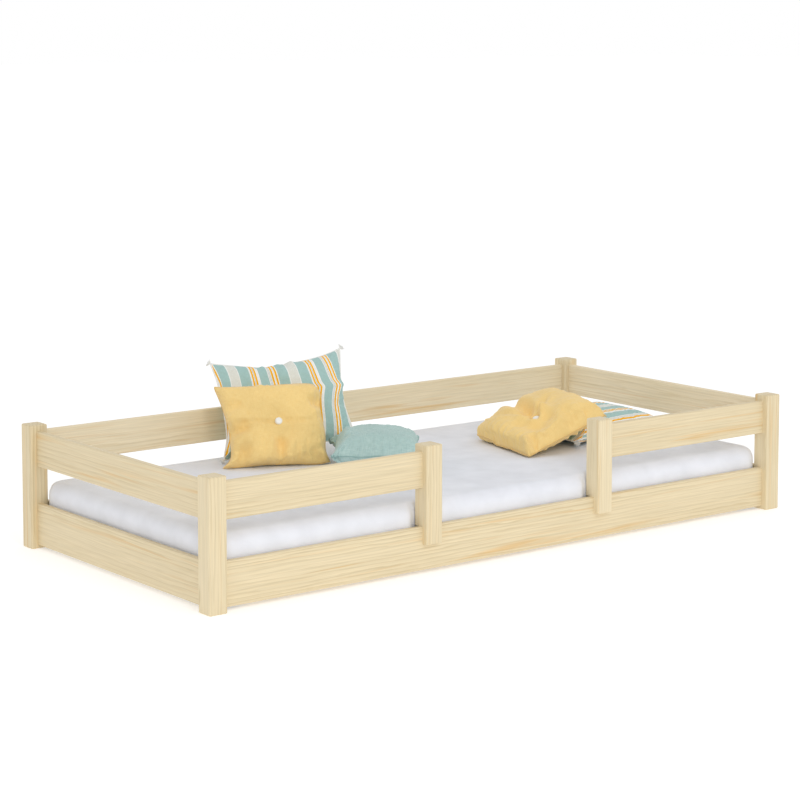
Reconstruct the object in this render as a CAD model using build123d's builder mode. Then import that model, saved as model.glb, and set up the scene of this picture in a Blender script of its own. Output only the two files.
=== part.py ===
from build123d import *
import math
import os

# Low pine bed for a small child, with a guard rail all round and a gap to climb in by.
# Millimetres. +X runs along the bed, -Y is the side with the entry gap, +Z is up.
# The origin is on the floor, under the middle of the bed.

# ---- Frame ----
bed_length = 2088.0
bed_width = 980.0
post_side = 55.0
post_height = 356.0
post_edge_radius = 5.0
post_top_radius = 4.0
post_foot_chamfer = 2.0

board_thickness = 18.0
board_setback = 20.0  # from a post's outer face to a board's outer face
board_edge_radius = 3.0
rail_bottom = 10.0
rail_height = 120.0
guard_top = 337.5
guard_height = 100.0

entry_gap = 576.0  # between the two short posts on the front
lap_bottom = 82.0  # lower end of the tongue that laps over the front rail
lap_end_radius = 4.0

# ---- Dowels, screws and corner plates ----
dowel_diameter = 8.0
dowel_length = 40.0
dowel_chamfer = 1.0
guard_dowel_spacing = 50.0
rail_dowel_levels = (70.0, 110.0)

screw_diameter = 4.0
screw_head_diameter = 8.0
screw_recess_width = 1.0
screw_recess_span = 4.0
screw_recess_depth = 1.2
long_screw = 35.0
plate_screw = 15.0

plate_bottom = 12.0
plate_height = 30.0
plate_thickness = 2.0
plate_gap = 12.0  # from the post's inner corner to the plate, along the diagonal
plate_flange = 33.0
plate_bend_radius = 5.0
plate_screw_pitch = 16.0
bolt_diameter = 8.0
bolt_in_post = 40.0
bolt_beyond_nut = 5.0
bolt_clearance = 0.25
nut_across_flats = 13.0
nut_height = 6.5
washer_diameter = 16.0
washer_thickness = 1.6

# ---- Slats and what carries them ----
ledger_width = 25.0
ledger_height = 30.0
ledger_bottom = 14.0
ledger_length = 1836.0
ledger_edge_radius = 2.0
ledger_screw_count = 7
ledger_screw_pitch = 290.0
ledger_screw_level = 8.0  # above the ledger's underside, clear of the slat screws
slat_count = 15
slat_width = 70.0
slat_thickness = 18.0
slat_pitch = 125.7
slat_end_clearance = 4.0
slat_edge_radius = 2.0

# ---- Mattress ----
mattress_length = 2000.0
mattress_width = 900.0
mattress_top = 193.0
mattress_corner_radius = 50.0
mattress_top_radius = 38.0
mattress_bottom_radius = 14.0
mattress_lift_off = 0.3  # between the slats and the sheet's underside
sheet_thickness = 1.0
sheet_hem = 90.0
sheet_air = 0.3  # left free between the sheet and the foam
notch_clearance = 1.2  # beside the short posts
notch_radius = 8.0

# ---- Cushions ----
# The striped pair is wider than tall, and the mustard and teal ones are nearly square.
striped_size = (408.0, 290.0)
striped_flat_size = (380.0, 288.0)
mustard_size = (320.0, 240.0)
mustard_square = (310.0, 340.0)
teal_size = (270.0, 268.0)
button_diameter = 22.0
button_height = 8.0
button_dome_radius = 5.0
tuft_radius = 40.0
tassel_gap = 0.5  # between a tassel's knot and the cushion's corner
tassel_length = 18.0
tassel_radius = 6.0
tassel_knot_radius = 4.0
tassel_knot_length = 6.0
cushion_corner_radius = 12.0
cushion_rise = ((0.40, 0.92), (0.78, 0.70), (1.0, 0.34))  # share of the thickness, scale of the outline
cushion_profile = (*((-share, scale) for share, scale in reversed(cushion_rise)), (0.0, 1.0), *cushion_rise)

# ---- Derived places ----
post_x = bed_length / 2 - post_side / 2
post_y = bed_width / 2 - post_side / 2
post_inner_x = bed_length / 2 - post_side
post_inner_y = bed_width / 2 - post_side
rail_top = rail_bottom + rail_height
guard_bottom = guard_top - guard_height
guard_middle = guard_top - guard_height / 2
board_x = bed_length / 2 - board_setback - board_thickness / 2
board_y = bed_width / 2 - board_setback - board_thickness / 2
inner_x = board_x - board_thickness / 2
inner_y = board_y - board_thickness / 2
long_board = 2 * post_inner_x
end_board = 2 * post_inner_y
short_post_x = entry_gap / 2 + post_side / 2
front_guard = post_x - short_post_x - post_side
front_guard_x = (post_x + short_post_x) / 2
guard_dowel_levels = (guard_middle - guard_dowel_spacing / 2, guard_middle + guard_dowel_spacing / 2)
lap_screw_levels = (lap_bottom + 14.0, rail_top - 12.0)
plate_level = plate_bottom + plate_height / 2
plate_diagonal = plate_gap + plate_thickness / 2
slat_bottom = ledger_bottom + ledger_height
slat_top = slat_bottom + slat_thickness
slat_length = 2 * (inner_y - slat_end_clearance)
ledger_y = inner_y - ledger_width / 2
slat_places = [(k - (slat_count - 1) / 2) * slat_pitch for k in range(slat_count)]
ledger_screw_places = [
    (k - (ledger_screw_count - 1) / 2) * ledger_screw_pitch for k in range(ledger_screw_count)
]
sheet_bottom = slat_top + mattress_lift_off
corners = [(x_side, y_side) for x_side in (-1, 1) for y_side in (-1, 1)]
sides = [(-1, "left"), (1, "right")]

os.makedirs("parts", exist_ok=True)


def save(builder, label):
    """Labels a finished piece and writes it."""
    builder.part.label = label
    export_step(builder.part, f"parts/{label}.step")


def facing(points, outward):
    """Planes at the points that face out of the wood, for Locations."""
    return [Plane(origin=point, z_dir=outward) for point in points]


def corner_name(x_side, y_side):
    return f"{'back' if y_side > 0 else 'front'}_{'right' if x_side > 0 else 'left'}"


# ---- Places that dowels, bolts and screws share with their holes ----
# Each is a list of planes at the joint's face.
def dowel_faces(levels, corner_list, along_x):
    """Where the boards' ends meet the corner posts."""
    faces = []
    for x_side, y_side in corner_list:
        if along_x:
            points = [(x_side * post_inner_x, y_side * board_y, level) for level in levels]
            faces += facing(points, (-x_side, 0, 0))
        else:
            points = [(x_side * board_x, y_side * post_inner_y, level) for level in levels]
            faces += facing(points, (0, -y_side, 0))
    return faces


def short_post_faces(x_side):
    """Where a front guard's inner end meets its short post."""
    points = [(x_side * (short_post_x + post_side / 2), -board_y, level) for level in guard_dowel_levels]
    return facing(points, (x_side, 0, 0))


def bolt_faces(corner_list):
    return [
        Plane(origin=(x * post_inner_x, y * post_inner_y, plate_level), z_dir=(-x, -y, 0))
        for x, y in corner_list
    ]


def plate_screw_faces(corner_list, along_x, depth_in):
    """Screws through a corner plate's flanges; depth_in is how far inside the rail's face they start."""
    bend = post_inner_x - plate_diagonal * math.sqrt(2) + post_inner_y
    flange_x = bend - (inner_y - plate_thickness / 2) - plate_flange / 2
    flange_y = bend - (inner_x - plate_thickness / 2) - plate_flange / 2
    faces = []
    for x_side, y_side in corner_list:
        for step in (-plate_screw_pitch / 2, plate_screw_pitch / 2):
            if along_x:
                point = (x_side * (flange_x + step), y_side * (inner_y - depth_in), plate_level)
                faces.append(Plane(origin=point, z_dir=(0, -y_side, 0)))
            else:
                point = (x_side * (inner_x - depth_in), y_side * (flange_y + step), plate_level)
                faces.append(Plane(origin=point, z_dir=(-x_side, 0, 0)))
    return faces


def ledger_screw_faces(y_side, depth_in):
    level = ledger_bottom + ledger_screw_level
    points = [(x, y_side * (inner_y - depth_in), level) for x in ledger_screw_places]
    return facing(points, (0, -y_side, 0))


def slat_screw_faces(places, y_sides, level):
    return facing([(x, y_side * ledger_y, level) for x in places for y_side in y_sides], (0, 0, 1))


def lap_screw_faces(x_side, y):
    points = [(x_side * short_post_x, y, level) for level in lap_screw_levels]
    return facing(points, (0, 1, 0))


# ---- Corner posts ----
for x_side, y_side in corners:
    here = [(x_side, y_side)]
    levels = (*rail_dowel_levels, *guard_dowel_levels)
    with BuildPart() as corner_post:
        with BuildSketch(Plane.XY):
            with Locations((x_side * post_x, y_side * post_y)):
                RectangleRounded(post_side, post_side, post_edge_radius)
        extrude(amount=post_height)
        fillet(corner_post.edges().group_by(Axis.Z)[-1], radius=post_top_radius)
        chamfer(corner_post.edges().group_by(Axis.Z)[0], length=post_foot_chamfer)
        with Locations(*dowel_faces(levels, here, True), *dowel_faces(levels, here, False)):
            Hole(dowel_diameter / 2, depth=dowel_length / 2)
        with Locations(*bolt_faces(here)):
            Hole(bolt_diameter / 2, depth=bolt_in_post)
    save(corner_post, f"post_{corner_name(x_side, y_side)}")

# ---- Short posts beside the entry gap ----
# The back of each one stands on the front rail, and its front laps down over the rail's face.
for x_side, name in sides:
    with BuildPart() as short_post:
        with BuildSketch(Plane.XY.offset(lap_bottom)):
            with Locations((x_side * short_post_x, -post_y)):
                RectangleRounded(post_side, post_side, post_edge_radius)
        extrude(amount=post_height - lap_bottom)
        fillet(short_post.edges().group_by(Axis.Z)[-1], radius=post_top_radius)
        fillet(short_post.edges().group_by(Axis.Z)[0], radius=lap_end_radius)
        with Locations((x_side * short_post_x, -inner_y - board_thickness, lap_bottom)):
            Box(
                2 * post_side,
                post_side,
                rail_top - lap_bottom,
                align=(Align.CENTER, Align.MIN, Align.MIN),
                mode=Mode.SUBTRACT,
            )
        with Locations(*short_post_faces(x_side)):
            Hole(dowel_diameter / 2, depth=dowel_length / 2)
        with Locations(*lap_screw_faces(x_side, -inner_y - board_thickness)):
            Hole(screw_diameter / 2, depth=long_screw - board_thickness)
    save(short_post, f"short_post_{name}")


# ---- Rails and guards ----
def board_blank(length, height, bottom, middle, along_x):
    """A board on edge, with its four long edges rounded."""
    size = (length, board_thickness) if along_x else (board_thickness, length)
    with BuildPart() as board:
        with BuildSketch(Plane.XY.offset(bottom)):
            with Locations(middle):
                Rectangle(*size)
        extrude(amount=height)
        fillet(board.edges().filter_by(Axis.X if along_x else Axis.Y), radius=board_edge_radius)
    return board.part


def inward(faces):
    """The same places seen from the other piece of the joint."""
    return [Plane(origin=face.origin, z_dir=-face.z_dir) for face in faces]


front, back = [(-1, -1), (1, -1)], [(-1, 1), (1, 1)]

for name, y_side, ends in (("front", -1, front), ("back", 1, back)):
    blank = board_blank(long_board, rail_height, rail_bottom, (0, y_side * board_y), True)
    with BuildPart() as long_rail:
        add(blank)
        with Locations(*inward(dowel_faces(rail_dowel_levels, ends, True))):
            Hole(dowel_diameter / 2, depth=dowel_length / 2)
        with Locations(*ledger_screw_faces(y_side, 0)):
            Hole(screw_diameter / 2, depth=long_screw - ledger_width)
        with Locations(*plate_screw_faces(ends, True, 0)):
            Hole(screw_diameter / 2, depth=plate_screw - plate_thickness)
        if y_side < 0:
            with Locations(*lap_screw_faces(-1, -inner_y), *lap_screw_faces(1, -inner_y)):
                CounterSinkHole(
                    screw_diameter / 2, screw_head_diameter / 2, depth=board_thickness, counter_sink_angle=90
                )
    save(long_rail, f"rail_{name}")

blank = board_blank(long_board, guard_height, guard_bottom, (0, board_y), True)
with BuildPart() as back_guard:
    add(blank)
    with Locations(*inward(dowel_faces(guard_dowel_levels, back, True))):
        Hole(dowel_diameter / 2, depth=dowel_length / 2)
save(back_guard, "guard_back")

for x_side, name in sides:
    ends = [(x_side, -1), (x_side, 1)]
    blank = board_blank(end_board, rail_height, rail_bottom, (x_side * board_x, 0), False)
    with BuildPart() as end_rail:
        add(blank)
        with Locations(*inward(dowel_faces(rail_dowel_levels, ends, False))):
            Hole(dowel_diameter / 2, depth=dowel_length / 2)
        with Locations(*plate_screw_faces(ends, False, 0)):
            Hole(screw_diameter / 2, depth=plate_screw - plate_thickness)
    save(end_rail, f"rail_{name}_end")

    blank = board_blank(end_board, guard_height, guard_bottom, (x_side * board_x, 0), False)
    with BuildPart() as end_guard:
        add(blank)
        with Locations(*inward(dowel_faces(guard_dowel_levels, ends, False))):
            Hole(dowel_diameter / 2, depth=dowel_length / 2)
    save(end_guard, f"guard_{name}_end")

    blank = board_blank(front_guard, guard_height, guard_bottom, (x_side * front_guard_x, -board_y), True)
    corner_end = dowel_faces(guard_dowel_levels, [(x_side, -1)], True)
    with BuildPart() as front_side_guard:
        add(blank)
        with Locations(*inward(corner_end), *inward(short_post_faces(x_side))):
            Hole(dowel_diameter / 2, depth=dowel_length / 2)
    save(front_side_guard, f"guard_front_{name}")

# ---- Ledgers and slats ----
for name, y_side in (("front", -1), ("back", 1)):
    with BuildPart() as ledger:
        with BuildSketch(Plane.XY.offset(ledger_bottom)):
            with Locations((0, y_side * ledger_y)):
                Rectangle(ledger_length, ledger_width)
        extrude(amount=ledger_height)
        inner_edges = ledger.edges().filter_by(Axis.X).sort_by(Axis.Y, reverse=y_side > 0)[-2:]
        fillet(inner_edges, radius=ledger_edge_radius)
        with Locations(*ledger_screw_faces(y_side, ledger_width)):
            CounterSinkHole(
                screw_diameter / 2, screw_head_diameter / 2, depth=ledger_width, counter_sink_angle=90
            )
        with Locations(*slat_screw_faces(slat_places, [y_side], slat_bottom)):
            Hole(screw_diameter / 2, depth=long_screw - slat_thickness)
    save(ledger, f"ledger_{name}")

for number, x in enumerate(slat_places, start=1):
    with BuildPart() as slat:
        with BuildSketch(Plane.XY.offset(slat_bottom)):
            with Locations((x, 0)):
                Rectangle(slat_width, slat_length)
        extrude(amount=slat_thickness)
        fillet(slat.edges().filter_by(Axis.Y), radius=slat_edge_radius)
        with Locations(*slat_screw_faces([x], [-1, 1], slat_top)):
            CounterSinkHole(
                screw_diameter / 2, screw_head_diameter / 2, depth=slat_thickness, counter_sink_angle=90
            )
    save(slat, f"slat_{number:02d}")

# ---- Dowels ----
with BuildPart() as one_dowel:
    Cylinder(dowel_diameter / 2, dowel_length)
    chamfer(one_dowel.edges().filter_by(GeomType.CIRCLE), length=dowel_chamfer)

rail_joints = dowel_faces(rail_dowel_levels, corners, True) + dowel_faces(rail_dowel_levels, corners, False)
with BuildPart() as rail_dowels:
    with Locations(*rail_joints):
        add(one_dowel.part)
save(rail_dowels, "rail_dowels")

guard_joints = dowel_faces(guard_dowel_levels, corners, True)
guard_joints += dowel_faces(guard_dowel_levels, corners, False)
guard_joints += short_post_faces(-1) + short_post_faces(1)
with BuildPart() as guard_dowels:
    with Locations(*guard_joints):
        add(one_dowel.part)
save(guard_dowels, "guard_dowels")


# ---- Screws ----
def screw_group(length, faces):
    """Countersunk screws whose heads lie flush with the faces."""
    head, shank = screw_head_diameter / 2, screw_diameter / 2
    with BuildPart() as one_screw:
        with BuildSketch(Plane.XZ):
            with BuildLine():
                Polyline((0, 0), (head, 0), (shank, shank - head), (shank, -length), (0, -length), close=True)
            make_face()
        revolve(axis=Axis.Z)
        with BuildSketch(Plane.XY):
            Rectangle(screw_recess_span, screw_recess_width)
            Rectangle(screw_recess_width, screw_recess_span)
        extrude(amount=-screw_recess_depth, mode=Mode.SUBTRACT)
    with BuildPart() as group:
        with Locations(*faces):
            add(one_screw.part)
    return group


save(screw_group(long_screw, slat_screw_faces(slat_places, [-1, 1], slat_top)), "slat_screws")
save(
    screw_group(long_screw, ledger_screw_faces(-1, ledger_width) + ledger_screw_faces(1, ledger_width)),
    "ledger_screws",
)
save(
    screw_group(long_screw, lap_screw_faces(-1, -inner_y) + lap_screw_faces(1, -inner_y)),
    "short_post_screws",
)
plate_faces = plate_screw_faces(corners, True, plate_thickness)
plate_faces += plate_screw_faces(corners, False, plate_thickness)
save(screw_group(plate_screw, plate_faces), "corner_plate_screws")

# ---- Corner plates, their bolts, washers and nuts ----
plate_bend = post_inner_x + post_inner_y - plate_diagonal * math.sqrt(2)
for x_side, y_side in corners:
    strip_y = inner_y - plate_thickness / 2
    strip_x = inner_x - plate_thickness / 2
    bend_x = plate_bend - strip_y
    bend_y = plate_bend - strip_x
    route = [
        (x_side * (bend_x - plate_flange), y_side * strip_y, plate_level),
        (x_side * bend_x, y_side * strip_y, plate_level),
        (x_side * strip_x, y_side * bend_y, plate_level),
        (x_side * strip_x, y_side * (bend_y - plate_flange), plate_level),
    ]
    with BuildPart() as corner_plate:
        with BuildLine():
            FilletPolyline(*route, radius=plate_bend_radius)
        with BuildSketch(Plane(origin=route[0], x_dir=(0, 1, 0), z_dir=(x_side, 0, 0))):
            Rectangle(plate_thickness, plate_height)
        sweep()
        with Locations(
            *plate_screw_faces([(x_side, y_side)], True, plate_thickness),
            *plate_screw_faces([(x_side, y_side)], False, plate_thickness),
        ):
            CounterSinkHole(
                screw_diameter / 2, screw_head_diameter / 2, depth=2 * plate_thickness, counter_sink_angle=90
            )
        bolts_here = bolt_faces([(x_side, y_side)])
        bolt_starts = [face.offset(plate_gap + 2 * plate_thickness) for face in bolts_here]
        with Locations(*bolt_starts):
            Hole(bolt_diameter / 2 + bolt_clearance, depth=4 * plate_thickness)
    save(corner_plate, f"corner_plate_{corner_name(x_side, y_side)}")

nut_start = plate_gap + plate_thickness + washer_thickness
bolt_total = bolt_in_post + nut_start + nut_height + bolt_beyond_nut
bolt_tip = Plane.XY.offset(-bolt_in_post)
with BuildPart() as one_bolt:
    with BuildSketch(bolt_tip):
        Circle(bolt_diameter / 2)
    extrude(amount=bolt_total)
    chamfer(one_bolt.edges().filter_by(GeomType.CIRCLE), length=dowel_chamfer)
with BuildPart() as one_washer:
    with BuildSketch(Plane.XY.offset(plate_gap + plate_thickness)):
        Circle(washer_diameter / 2)
        Circle(bolt_diameter / 2 + bolt_clearance, mode=Mode.SUBTRACT)
    extrude(amount=washer_thickness)
with BuildPart() as one_nut:
    with BuildSketch(Plane.XY.offset(nut_start)):
        RegularPolygon(nut_across_flats / 2, 6, major_radius=False)
        Circle(bolt_diameter / 2, mode=Mode.SUBTRACT)
    extrude(amount=nut_height)
for piece, label in ((one_bolt, "hanger_bolts"), (one_washer, "bolt_washers"), (one_nut, "bolt_nuts")):
    with BuildPart() as bolt_pieces:
        with Locations(*bolt_faces(corners)):
            add(piece.part)
    save(bolt_pieces, label)


# ---- Mattress and fitted sheet ----
def mattress_block(inset):
    """The mattress's outline drawn in by inset, with a dent where each short post stands into it."""
    low, high = sheet_bottom + inset, mattress_top - inset
    dent_y = -post_inner_y + notch_clearance + inset
    with BuildPart() as block:
        with BuildSketch(Plane.XY.offset(low)):
            RectangleRounded(
                mattress_length - 2 * inset, mattress_width - 2 * inset, mattress_corner_radius - inset
            )
        extrude(amount=high - low)
        fillet(block.edges().group_by(Axis.Z)[-1], radius=mattress_top_radius - inset)
        fillet(block.edges().group_by(Axis.Z)[0], radius=mattress_bottom_radius - inset)
        with BuildSketch(Plane.XY):
            with Locations((-short_post_x, dent_y - post_side / 2), (short_post_x, dent_y - post_side / 2)):
                RectangleRounded(post_side + 2 * (notch_clearance + inset), post_side, notch_radius)
        extrude(amount=post_height, mode=Mode.SUBTRACT)
    return block


foam = mattress_block(sheet_thickness + sheet_air)
save(foam, "mattress")

sheet_outside = mattress_block(0).part
sheet_inside = mattress_block(sheet_thickness).part
with BuildPart() as fitted_sheet:
    add(sheet_outside)
    add(sheet_inside, mode=Mode.SUBTRACT)
    with BuildSketch(Plane.XY.offset(sheet_bottom - 1)):
        RectangleRounded(
            mattress_length - 2 * sheet_hem, mattress_width - 2 * sheet_hem, mattress_corner_radius
        )
    extrude(amount=1 + 2 * sheet_thickness, mode=Mode.SUBTRACT)
save(fitted_sheet, "fitted_sheet")


# ---- Cushions ----
def cushion_plane(middle, heading, lean, roll=0.0):
    """A cushion's middle plane, facing its front. It stands upright facing -Y; heading turns it about Z,
    roll lifts its right side and lean tips its top edge back, so that at 90 it lies flat."""
    turn, tip, twist = math.radians(heading), math.radians(lean), math.radians(roll)
    along = Vector(math.cos(turn), math.sin(turn), 0)
    away = Vector(-math.sin(turn), math.cos(turn), 0)
    rise = Vector(0, 0, 1) * math.cos(tip) + away * math.sin(tip)
    right = along * math.cos(twist) + rise * math.sin(twist)
    return Plane(origin=middle, x_dir=right, z_dir=along.cross(rise))


def flat_cushion_plane(middle, heading, right_up=0.0, back_up=0.0):
    """The middle plane of a cushion that lies on its back: heading turns it about Z, and its right and
    back edges may be tipped up."""
    turn, side, rear = math.radians(heading), math.radians(right_up), math.radians(back_up)
    along = Vector(math.cos(turn), math.sin(turn), 0) * math.cos(side) + Vector(0, 0, 1) * math.sin(side)
    away = Vector(-math.sin(turn), math.cos(turn), 0) * math.cos(rear) + Vector(0, 0, 1) * math.sin(rear)
    return Plane(origin=middle, x_dir=along, z_dir=along.cross(away))


def cushion(plane, size, to_front, to_back, tuft=0.0, tuft_place=(0, 0)):
    """A crowned cushion: outlines that shrink away from the middle plane on both sides. With a tuft, its
    front is drawn in at tuft_place."""
    with BuildPart() as body:
        for share, scale in cushion_profile:
            reach = to_back if share < 0 else to_front
            with BuildSketch(plane.offset(share * reach)):
                RectangleRounded(size[0] * scale, size[1] * scale, cushion_corner_radius * scale)
        loft(ruled=True)
        if tuft:
            with BuildSketch(plane.offset(to_front)):
                with Locations(tuft_place):
                    Circle(tuft_radius)
            with BuildSketch(plane.offset(to_front - tuft)):
                with Locations(tuft_place):
                    Circle(button_diameter / 2 + 1)
            loft(mode=Mode.SUBTRACT)
    return body


def button(plane, seat, tuft_place):
    """A domed button on the bottom of the tuft."""
    with BuildPart() as dome:
        with BuildSketch(plane.offset(seat)):
            with Locations(tuft_place):
                Circle(button_diameter / 2)
        extrude(amount=button_height)
        top = dome.faces().sort_by(Axis(plane.origin, plane.z_dir))[-1]
        fillet(top.edges(), radius=button_dome_radius)
    return dome


def tassels(plane, size, upright=False):
    """A knot and a skirt on each corner, pointing out along the cushion's diagonals. On an upright
    cushion the lower ones point sideways, clear of what it stands on."""
    cut = cushion_corner_radius * (math.sqrt(2) - 1) / math.sqrt(2)
    with BuildPart() as one_tassel:
        with BuildSketch(Plane.XZ):
            with BuildLine():
                Polyline(
                    (0, 0),
                    (tassel_knot_radius, 0),
                    (tassel_knot_radius, tassel_knot_length),
                    (tassel_radius, tassel_length),
                    (0, tassel_length),
                    close=True,
                )
            make_face()
        revolve(axis=Axis.Z)
    places = []
    for x_side in (-1, 1):
        for y_side in (-1, 1):
            rise = 0 if y_side < 0 and upright else y_side
            outward = (plane.x_dir * x_side + plane.y_dir * rise).normalized()
            corner = plane.from_local_coords((x_side * (size[0] / 2 - cut), y_side * (size[1] / 2 - cut), 0))
            clear = tassel_gap if rise else tassel_gap + cut
            places.append(Plane(origin=corner + outward * clear, z_dir=outward))
    with BuildPart() as four_tassels:
        with Locations(*places):
            add(one_tassel.part)
    return four_tassels


striped_left = cushion_plane((-242, 331, 349), -25, 27, 5.7)
save(cushion(striped_left, striped_size, 48, 54), "striped_cushion_left")
save(tassels(striped_left, striped_size, upright=True), "striped_cushion_left_tassels")

mustard_left = cushion_plane((-341.5, 250.7, 311), -25, 27, 1.8)
mustard_left_tuft = (14, -5)
save(cushion(mustard_left, mustard_size, 56, 34, 16, mustard_left_tuft), "mustard_cushion_left")
save(button(mustard_left, 40, mustard_left_tuft), "cushion_button_left")

teal = flat_cushion_plane((-139, 8, 250), -35)
save(cushion(teal, teal_size, 66, 54), "teal_cushion")

striped_right = flat_cushion_plane((708, 20, 226), 4, 3)
save(cushion(striped_right, striped_flat_size, 55, 29), "striped_cushion_right")
save(tassels(striped_right, striped_flat_size), "striped_cushion_right_tassels")

mustard_right = flat_cushion_plane((477, -22, 252.5), -10.7, 20)
mustard_right_tuft = (-28, -44)
save(cushion(mustard_right, mustard_square, 84, 18, 40, mustard_right_tuft), "mustard_cushion_right")
save(button(mustard_right, 44, mustard_right_tuft), "cushion_button_right")
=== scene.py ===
"""Low pine floor bed with guard rails, a sheeted mattress and five loose cushions."""

import math

import bpy
import numpy as np
from mathutils import Matrix, Vector


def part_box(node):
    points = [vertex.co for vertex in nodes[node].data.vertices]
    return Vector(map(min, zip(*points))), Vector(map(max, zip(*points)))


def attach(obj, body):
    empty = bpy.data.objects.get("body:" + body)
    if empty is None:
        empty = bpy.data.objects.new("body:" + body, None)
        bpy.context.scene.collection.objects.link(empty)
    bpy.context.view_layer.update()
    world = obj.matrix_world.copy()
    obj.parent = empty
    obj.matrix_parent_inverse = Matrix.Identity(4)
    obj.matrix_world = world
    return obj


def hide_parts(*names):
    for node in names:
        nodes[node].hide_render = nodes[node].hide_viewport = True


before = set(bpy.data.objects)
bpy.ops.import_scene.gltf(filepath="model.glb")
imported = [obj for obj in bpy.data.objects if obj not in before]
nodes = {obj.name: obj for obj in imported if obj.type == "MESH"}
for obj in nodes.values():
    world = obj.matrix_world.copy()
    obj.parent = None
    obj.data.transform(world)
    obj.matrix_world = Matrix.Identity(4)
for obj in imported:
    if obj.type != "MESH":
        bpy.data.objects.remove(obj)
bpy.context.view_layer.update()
scene = bpy.context.scene
scene.view_settings.view_transform = "Standard"

# ---------------- places shared with the CAD, in metres
BED_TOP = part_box("fitted_sheet")[1][2]  # top of the sheet
BED_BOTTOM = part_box("fitted_sheet")[0][2]
BED_HALF = (1.0, 0.45)
SHORT_POST_X = 0.3155
SHORT_POST_HALF = 0.0275
POST_INTO_BED = 0.0166  # how far the short posts stand into the mattress

# ---------------- camera: a long lens at a low angle
PICTURE_WIDTH = 800
FOCAL_LENGTH = 2262  # in units of the picture's own points
SENSOR_WIDTH = 36
PITCH_DOWN = 5.611
YAW = -37.807

# ---------------- strength of the lights
AMBIENT = 0.79
KEY_POWER = 54
FLOOR_GLOW = 0.40
FLOOR_HALF = 60.0

# ---------------- cloth
FINE = 66  # cells across a cushion
STRANDS = 90  # threads in a tassel
REPEAT = 0.185  # of the stripes


# ---------------- camera, light and floor
def add_camera():
    data = bpy.data.cameras.new("camera")
    data.sensor_width = SENSOR_WIDTH
    data.lens = FOCAL_LENGTH / PICTURE_WIDTH * SENSOR_WIDTH
    data.shift_y = -0.20
    data.clip_end = 100
    camera = bpy.data.objects.new("camera", data)
    camera.location = (-4.0949, -5.2064, 1.5075)
    camera.rotation_euler = (math.radians(90 - PITCH_DOWN), 0, math.radians(YAW))
    scene.collection.objects.link(camera)
    scene.camera = camera


def area_light(name, place, target, size, power):
    data = bpy.data.lights.new(name, "AREA")
    data.shape = "DISK"
    data.size = size
    data.energy = power
    light = bpy.data.objects.new(name, data)
    light.location = place
    light.rotation_euler = (Vector(target) - Vector(place)).to_track_quat("-Z", "Y").to_euler()
    scene.collection.objects.link(light)


def add_studio():
    """A white world, a large soft key, and a pale floor that the picture's edge never leaves."""
    world = bpy.data.worlds.new("studio")
    world.use_nodes = True
    tree = world.node_tree
    glow = tree.nodes["Background"]
    glow.inputs["Color"].default_value = (1, 1, 1, 1)
    seen = tree.nodes.new("ShaderNodeLightPath").outputs["Is Camera Ray"]
    level = tree.nodes.new("ShaderNodeMix")
    level.inputs[2].default_value = AMBIENT
    level.inputs[3].default_value = 1.0
    tree.links.new(seen, level.inputs[0])
    tree.links.new(level.outputs[0], glow.inputs["Strength"])
    scene.world = world
    area_light("key", (-1.4, -5.0, 3.4), (0, 0, 0.2), 1.8, KEY_POWER)
    mesh = bpy.data.meshes.new("floor")
    corners = [(x * FLOOR_HALF, y * FLOOR_HALF, 0) for x, y in ((-1, -1), (1, -1), (1, 1), (-1, 1))]
    mesh.from_pydata(corners, [], [(0, 1, 2, 3)])
    floor = bpy.data.objects.new("floor", mesh)
    scene.collection.objects.link(floor)
    shade = bpy.data.materials.new("floor_paint")
    shade.use_nodes = True
    shader = shade.node_tree.nodes["Principled BSDF"]
    shader.inputs["Base Color"].default_value = (0.8, 0.8, 0.8, 1)
    shader.inputs["Roughness"].default_value = 0.9
    shader.inputs["Emission Color"].default_value = (1, 1, 1, 1)
    shader.inputs["Emission Strength"].default_value = FLOOR_GLOW
    mesh.materials.append(shade)


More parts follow.
